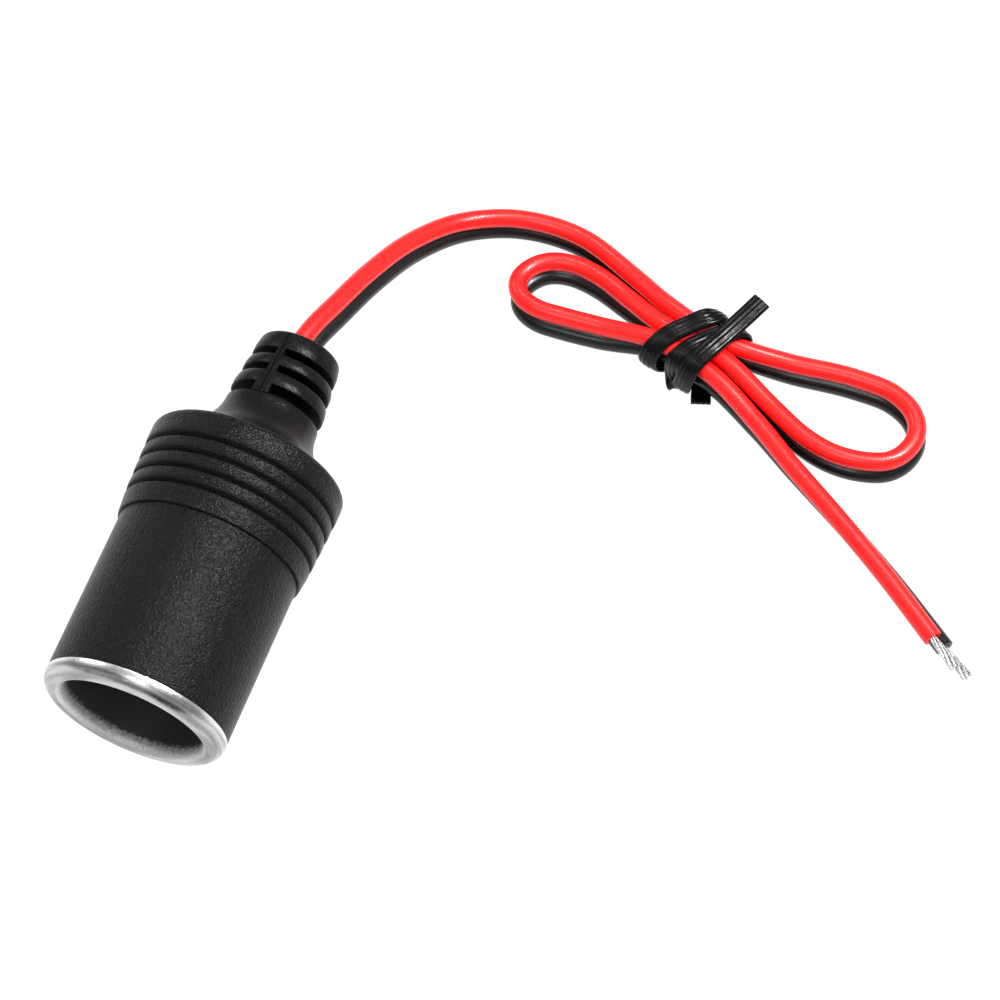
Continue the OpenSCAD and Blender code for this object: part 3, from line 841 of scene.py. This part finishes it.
def grained(name, colour, roughness, grain, smooth_from=None, marks=(), painted_shade=None):
    """Spark-eroded black. Marks are (centre, size, turn, depth) in upright millimetres. The
    last argument makes a mask of painted shade that darkens and dulls it.
    """
    made, shader = new_material(name, colour, roughness)
    shader.inputs["IOR"].default_value = MATTE_IOR
    where = coordinates(made)
    fine = noise(made, where, GRAIN_FINE, 1, 0.6)
    coarse = noise(made, where, GRAIN_COARSE, 2, 0.5)
    wear = noise(made, where, WEAR, 2, 0.5)
    height = combined(made, "ADD", fine, combined(made, "MULTIPLY", coarse, 0.9))
    if smooth_from is not None:
        _, along = upright_place(made)
        fade = between(made, along, 1.0, POLISHED, smooth_from - 0.3, smooth_from + 0.3)
        height = combined(made, "MULTIPLY", height, fade)
    for centre, size, turn, depth in marks:
        dent = combined(made, "MULTIPLY", near(made, centre, size, turn), depth)
        height = combined(made, "SUBTRACT", height, dent)
    bumped(made, shader, height, grain, GRAIN_DEEP)
    rough = between(made, wear, roughness - 0.02, roughness + 0.02)
    shade = between(made, fine, 0.3, 1, 0.35, 0.75)
    # Painted shade: the mask darkens the base colour in grooves and slots, and dulls them.
    if painted_shade is not None:
        dark = painted_shade(made)
        rough = combined(made, "ADD", rough, combined(made, "MULTIPLY", dark, 0.4))
        shade = combined(made, "MULTIPLY", shade, combined(made, "SUBTRACT", 1, dark))
    link(made, rough, shader.inputs["Roughness"])
    tinted(made, shader, shade, tuple(c * 0.1 for c in colour), tuple(c * 1.5 for c in colour))
    return made


print("grain ready, about", round(1000 / GRAIN_FINE, 2), "mm wide")

# %% [markdown]
# Little light gets into the grooves of the collar and the slots of the relief, so shade is
# painted into the boot's colour there, and the finish is darker and duller in them. Where
# they are is worked out from the same values that cut them: distance along the axis for
# the grooves, depth under the tapered skin for the slots.

# %% Finishes of sleeve and boot
def painted_groove_and_slot_shade(made):
    """Painted shade, 1 in the collar's grooves and low in the slots, where little light gets
    in.
    """
    radius, along = upright_place(made)
    first = GROOVE_FIRST - GROOVE_BACK
    past = combined(made, "MODULO", combined(made, "SUBTRACT", along, first), GROOVE_STEP)
    groove = between(made, past, 1, 0, 0.5, 1.25)
    for limit, low, high in [(first, 0, 1), (first + GROOVE_STEP * GROOVES, 1, 0)]:
        groove = combined(made, "MULTIPLY", groove,
                          between(made, along, low, high, limit - 0.02, limit + 0.02))
    slope = (RELIEF_ROOT - RELIEF_TAIL) / TAPER_LONG
    skin = combined(made, "SUBTRACT", RELIEF_ROOT + slope * NECK_END,
                    combined(made, "MULTIPLY", along, slope))
    sunk = between(made, combined(made, "SUBTRACT", skin, radius), 0, 1, 0.1, 0.5)
    sunk = combined(made, "MULTIPLY", sunk,
                    between(made, along, 0, 1, NECK_END - 0.3, NECK_END + 0.05))
    return combined(made, "MAXIMUM", groove, sunk)


nick = ((1.94, -13.87, 28.2), (0.28, 0.6, 0.45), (0, 0, 0), 3)
scratch = ((0.75, -8.6, 48.6), (0.12, 1.4, 2.4), (0.48, 0.12, 0), -1.2)
sleeve_finish = grained("grained black plastic", (0.0062, 0.0062, 0.0065), 0.31, 1.0,
                        marks=[nick])
boot_finish = grained("grained black vinyl", (0.0062, 0.0062, 0.0064), 0.30, 0.9,
                      SHOULDER - 0.3, [scratch], painted_groove_and_slot_shade)
sleeve.data.materials.append(sleeve_finish)
boot.data.materials.append(boot_finish)
print("black mouldings finished")

# %% [markdown]
# The liner is nickel plated steel. Drawing and spinning leave fine lines round the axis,
# so their noise is stretched: fast along the axis and outwards, slow round it. First come
# the masks: the wall of the bore, painted shade that darkens it with depth, with a ragged
# edge, a painted highlight along the edge at the sleeve, a painted dark reflection streak
# on the rim, and a scuff from handling.

# %% Masks on the liner
BORE_WALL_FROM, BORE_WALL_TO = 11.1, 11.8
DARK_FROM, DARK_TO, DARK_RAGGED = 1.2, 4.0, 2.4
DARK_STREAK_AT, DARK_STREAK_SIZE = (9.6, -9.1, 1.1), (4.6, 0.6, 0.6)
DARK_STREAK_TURN = (0, 0, math.radians(47))
SCUFF_AT, SCUFF_SIZE = (-1.5, -13.3, 1.25), (0.9, 0.5, 0.6)

nickel, nickel_shader = new_material("brushed nickel plate", (0.66, 0.66, 0.65), 0.3, 1.0)
lines = noise(nickel, coordinates(nickel, (0.25, 0.25, 9), "upright"), 1.0, 4, 0.65)
specks = noise(nickel, coordinates(nickel), 2600, 3, 0.6)
broad = noise(nickel, coordinates(nickel), 240, 2, 0.5)
radius, along = upright_place(nickel)
bore_wall = between(nickel, radius, 1, 0, BORE_WALL_FROM, BORE_WALL_TO)
ragged = combined(nickel, "ADD", along, combined(nickel, "MULTIPLY", specks, DARK_RAGGED))
# Painted shade: the bore's wall darkens with depth, with a ragged edge.
painted_bore_shade = combined(nickel, "MULTIPLY", bore_wall,
                between(nickel, ragged, 0, 1, DARK_FROM, DARK_TO))
# Painted highlight: a bright line on the rim's outside, at its edge by the sleeve.
painted_edge_highlight = combined(nickel, "MULTIPLY", combined(nickel, "SUBTRACT", 1, bore_wall),
                 between(nickel, along, 0, 1, 2.3, 2.6))
# Painted reflection: a dark streak across the rim, broken up by the specks.
painted_dark_streak = combined(nickel, "MULTIPLY", near(nickel, DARK_STREAK_AT, DARK_STREAK_SIZE, DARK_STREAK_TURN, 0.3),
                 between(nickel, specks, 0, 0.9, 0.3, 0.5))
scuff = combined(nickel, "MULTIPLY", near(nickel, SCUFF_AT, SCUFF_SIZE, soft=0.1),
                 between(nickel, specks, 0, 1, 0.4, 0.6))
marks = combined(nickel, "MAXIMUM", painted_dark_streak, combined(nickel, "MULTIPLY", scuff, 0.6))
print("masks of the liner ready")

# %% [markdown]
# The masks are added up to one shade from dark to bright. The wall of the bore is dull and
# pale near the mouth: rougher, and less of a mirror, so that it stays light although there
# is little in front of it to reflect. Deeper in, painted shade darkens it.

# %% Finish of the liner
NICKEL_DARK, NICKEL_LIGHT = (0.03, 0.03, 0.03), (0.8, 0.8, 0.79)
BORE_PALE = 0.75

# Painted reflection: broad light and dark bands round the rim, like reflected surroundings.
painted_reflection_bands = noise(nickel, coordinates(nickel, (0.09, 0.09, 1.5), "upright"), 1.0, 1, 0.5)
shade = combined(nickel, "ADD", combined(nickel, "MULTIPLY", lines, 0.5),
                 combined(nickel, "MULTIPLY", specks, 0.3))
shade = combined(nickel, "ADD", shade, between(nickel, painted_reflection_bands, -0.1, 0.25, 0.36, 0.62))
shade = combined(nickel, "ADD", shade, combined(nickel, "MULTIPLY", painted_edge_highlight, 0.4))
shade = combined(nickel, "ADD", shade, combined(nickel, "MULTIPLY", bore_wall, BORE_PALE))
# The painted shade of the bore and the painted dark streak darken the shade; the scuff is wear.
for dark in (painted_bore_shade, marks):
    shade = combined(nickel, "MULTIPLY", shade, combined(nickel, "SUBTRACT", 1, dark))
tinted(nickel, nickel_shader, shade, NICKEL_DARK, NICKEL_LIGHT)
link(nickel, combined(nickel, "ADD", between(nickel, broad, 0.2, 0.34),
                      combined(nickel, "MULTIPLY", bore_wall, 0.3)),
     nickel_shader.inputs["Roughness"])
link(nickel, combined(nickel, "SUBTRACT", 1, combined(nickel, "MULTIPLY", bore_wall, BORE_PALE)),
     nickel_shader.inputs["Metallic"])
first_bump = bumped(nickel, nickel_shader, lines, 0.5, 0.00004)
bumped(nickel, nickel_shader, specks, 0.45, 0.00003, first_bump)
liner.data.materials.append(nickel)
print("liner finished")

# %% [markdown]
# The lead's covers are soft glossy vinyl, red and black. Extrusion leaves a slight
# unevenness along the wire, which keeps the highlight from being a ruled line. The tie is
# a harder, shinier vinyl in the same black, so it shows by its highlights alone.

# %% Finishes of lead and tie
TIE_IOR = 1.24


def glossy(name, colour, roughness, ripple, coat=0.1, gloss=0.3):
    """Soft vinyl with slow ripples and a fine skin."""
    made, shader = new_material(name, colour, roughness, coat=coat, gloss=gloss)
    where = coordinates(made)
    slow = noise(made, where, 260, 2, 0.5)
    fine = noise(made, where, 2600, 3, 0.55)
    under = bumped(made, shader, slow, ripple, 0.00025)
    bumped(made, shader, fine, 0.12, 0.00002, under)
    link(made, between(made, fine, roughness - 0.05, roughness + 0.08),
         shader.inputs["Roughness"])
    tinted(made, shader, between(made, slow, 0, 1), tuple(c * 0.9 for c in colour), colour)
    return made, shader


red_vinyl, red_shader = glossy("red vinyl", (0.9, 0.010, 0.009), 0.33, 0.03, 0.1, 0.33)
black_vinyl, _ = glossy("black vinyl", (0.005, 0.005, 0.0055), 0.30, 0.03)
tie_vinyl, tie_shader = glossy("ribbed tie vinyl", (0.003, 0.003, 0.0035), 0.2, 0.3, 0.0, 0.5)
tie_shader.inputs["IOR"].default_value = TIE_IOR
red_cover.data.materials.append(red_vinyl)
black_cover.data.materials.append(black_vinyl)
tie.data.materials.append(tie_vinyl)
print("lead and tie finished")

# %% [markdown]
# Tinned strands are nearly white, softly shining, and uneven where the tin has run.

# %% Finish of the bare ends
tin, tin_shader = new_material("tinned strands", (0.62, 0.62, 0.63), 0.3, 1.0)
tin_noise = noise(tin, coordinates(tin), 1800, 2, 0.5)
link(tin, between(tin, tin_noise, 0.22, 0.5), tin_shader.inputs["Roughness"])
bumped(tin, tin_shader, tin_noise, 0.25, 0.00003)
red_strands.data.materials.append(tin)
black_strands.data.materials.append(tin)
print("bare ends finished")

# %% [markdown]
# The parts behind the mouth and inside the boot keep their exact shapes. Each gets the
# finish of its stock: stamped brass, pressed fibre, tinned steel, solder, copper, nylon.

# %% Kinds of stock for the inner parts
def metal_stock(name, colour, roughness, streak):
    """Bare metal with fine streaks."""
    made, shader = new_material(name, colour, roughness, 1.0)
    grain = noise(made, coordinates(made, (1, 1, 8)), 900, 4, 0.6)
    link(made, between(made, grain, roughness - 0.1, roughness + 0.12),
         shader.inputs["Roughness"])
    bumped(made, shader, grain, streak, 0.00003)
    tinted(made, shader, between(made, grain, 0, 1), tuple(c * 0.85 for c in colour), colour)
    return made


def pressed_stock(name, dark, light, roughness):
    """Board or plastic with fine flecks."""
    made, shader = new_material(name, light, roughness)
    flecks = noise(made, coordinates(made), 2200, 4, 0.7)
    tinted(made, shader, between(made, flecks, 0, 1), dark, light)
    bumped(made, shader, flecks, 0.35, 0.00005)
    return made


brass = metal_stock("stamped brass", (0.72, 0.52, 0.24), 0.32, 0.2)
tinned_steel = metal_stock("tinned steel", (0.66, 0.66, 0.64), 0.36, 0.2)
solder = metal_stock("solder", (0.62, 0.63, 0.64), 0.28, 0.35)
copper = metal_stock("bare copper", (0.74, 0.36, 0.20), 0.34, 0.3)
fibre = pressed_stock("pressed fibre", (0.10, 0.05, 0.025), (0.22, 0.12, 0.06), 0.7)
nylon = pressed_stock("natural nylon", (0.50, 0.49, 0.45), (0.62, 0.61, 0.57), 0.5)
print("six kinds of stock ready")

# %% [markdown]
# The contact stack is brass, since the current to the plug's tip runs through it, and the
# discs that keep it off the liner are fibre. Only the materials change here: the pieces
# themselves stay as they were packed.

# %% Finishes of the inner parts
inner_finishes = {
    "centre_contact": (brass, "contact_brass"), "contact_rivet": (brass, "contact_brass"),
    "rivet_washer": (brass, "contact_brass"), "positive_tab": (brass, "contact_brass"),
    "ground_tab": (tinned_steel, "tab_steel"), "positive_solder": (solder, "solder"),
    "ground_solder": (solder, "solder"), "red_core_joint": (copper, "bare_copper"),
    "black_core_joint": (copper, "bare_copper"), "front_insulator": (fibre, "fibre_board"),
    "rear_insulator": (fibre, "fibre_board"), "inner_cap": (nylon, "inner_plastic"),
}
for name, (stock, slot_name) in inner_finishes.items():
    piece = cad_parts[name]
    piece.data.materials.clear()
    piece.data.materials.append(stock)
print(len(inner_finishes), "inner parts finished")

# %% [markdown]
# Each new piece takes the place of its plain solid.
# The black cover is cut a little longer than the red.

# %% Pieces handed to the frame
for piece, stands_for, slot_name in [
        (red_cover, "red_wire", "red_vinyl"), (black_cover, "black_wire", "black_vinyl"),
        (red_strands, "red_lead_end", "tinned_copper"),
        (black_strands, "black_lead_end", "tinned_copper"),
        (tie, "cord_tie", "tie_vinyl"), (liner, "socket_liner", "plated_steel"),
        (sleeve, "outer_sleeve", "sleeve_plastic"), (boot, "rear_boot", "boot_vinyl")]:
    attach(piece, "root")
    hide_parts(stands_for)
print("pieces ride on the part")

# %% [markdown]
# A pale floor and soft light from above, as in a catalogue. A long, narrow key panel to
# the right gives the sleeve its sheen. A panel on the left picks out the edges, a wide one
# overhead fills the tops, one beyond the mouth lights the bore and the rim, and a small one
# behind puts the highlights on the lead. The floor is dark but gives off its own light, so
# that it goes white without throwing much of that light back up at the black pieces.

# %% Floor, light and room
def panel(name, at, target, long_side, size, power):
    """Area light that looks from one point to another, its first side along long_side."""
    light = bpy.data.lights.new(name, "AREA")
    light.shape, light.size, light.size_y = "RECTANGLE", *size
    light.energy = power
    made = bpy.data.objects.new(name, light)
    bpy.context.scene.collection.objects.link(made)
    back = (Vector(at) - Vector(target)).normalized()
    first = (Vector(long_side) - Vector(long_side).dot(back) * back).normalized()
    made.matrix_world = Matrix.Translation(at) @ Matrix(
        (first, back.cross(first), back)).transposed().to_4x4()
    return made


FLOOR_SIZE, FLOOR_GLOW, ROOM_LIGHT = 3, 0.97, 0.42
WHITE = (1, 1, 1, 1)
floor_mesh = bmesh.new()
bmesh.ops.create_grid(floor_mesh, x_segments=1, y_segments=1, size=FLOOR_SIZE)
floor = as_object(floor_mesh, "floor")
floor_finish, floor_shader = new_material("pale floor", (0.12, 0.12, 0.12), 0.9)
floor_shader.inputs["Emission Color"].default_value = WHITE
floor_shader.inputs["Emission Strength"].default_value = FLOOR_GLOW
floor.data.materials.append(floor_finish)
panel("key panel", (0.215, 0.15, 0.447), (0, -0.012, 0.028), (1, -0.16, 0), (0.22, 0.05), 4.0)
panel("left panel", (-0.50, 0.10, 0.35), (0, 0, 0), (0, 1, 0), (0.3, 0.3), 0.8)
panel("roof panel", (0.03, 0.05, 0.9), (0.03, 0.03, 0), (1, 0, 0), (0.6, 0.6), 0.6)
panel("mouth panel", (0.03, -0.40, 0.75), (0, -0.03, 0), (1, 0, 0), (0.25, 0.25), 1.5)
panel("back panel", (-0.09, 0.30, 0.54), (0.05, 0.06, 0), (1, 0, 0), (0.08, 0.08), 0.35)
room = bpy.data.worlds.new("room")
bpy.context.scene.world = room
room.use_nodes = True
room_sky = room.node_tree.nodes["Background"]
room_sky.inputs["Color"].default_value = WHITE
room_sky.inputs["Strength"].default_value = ROOM_LIGHT
print("floor and lights set")
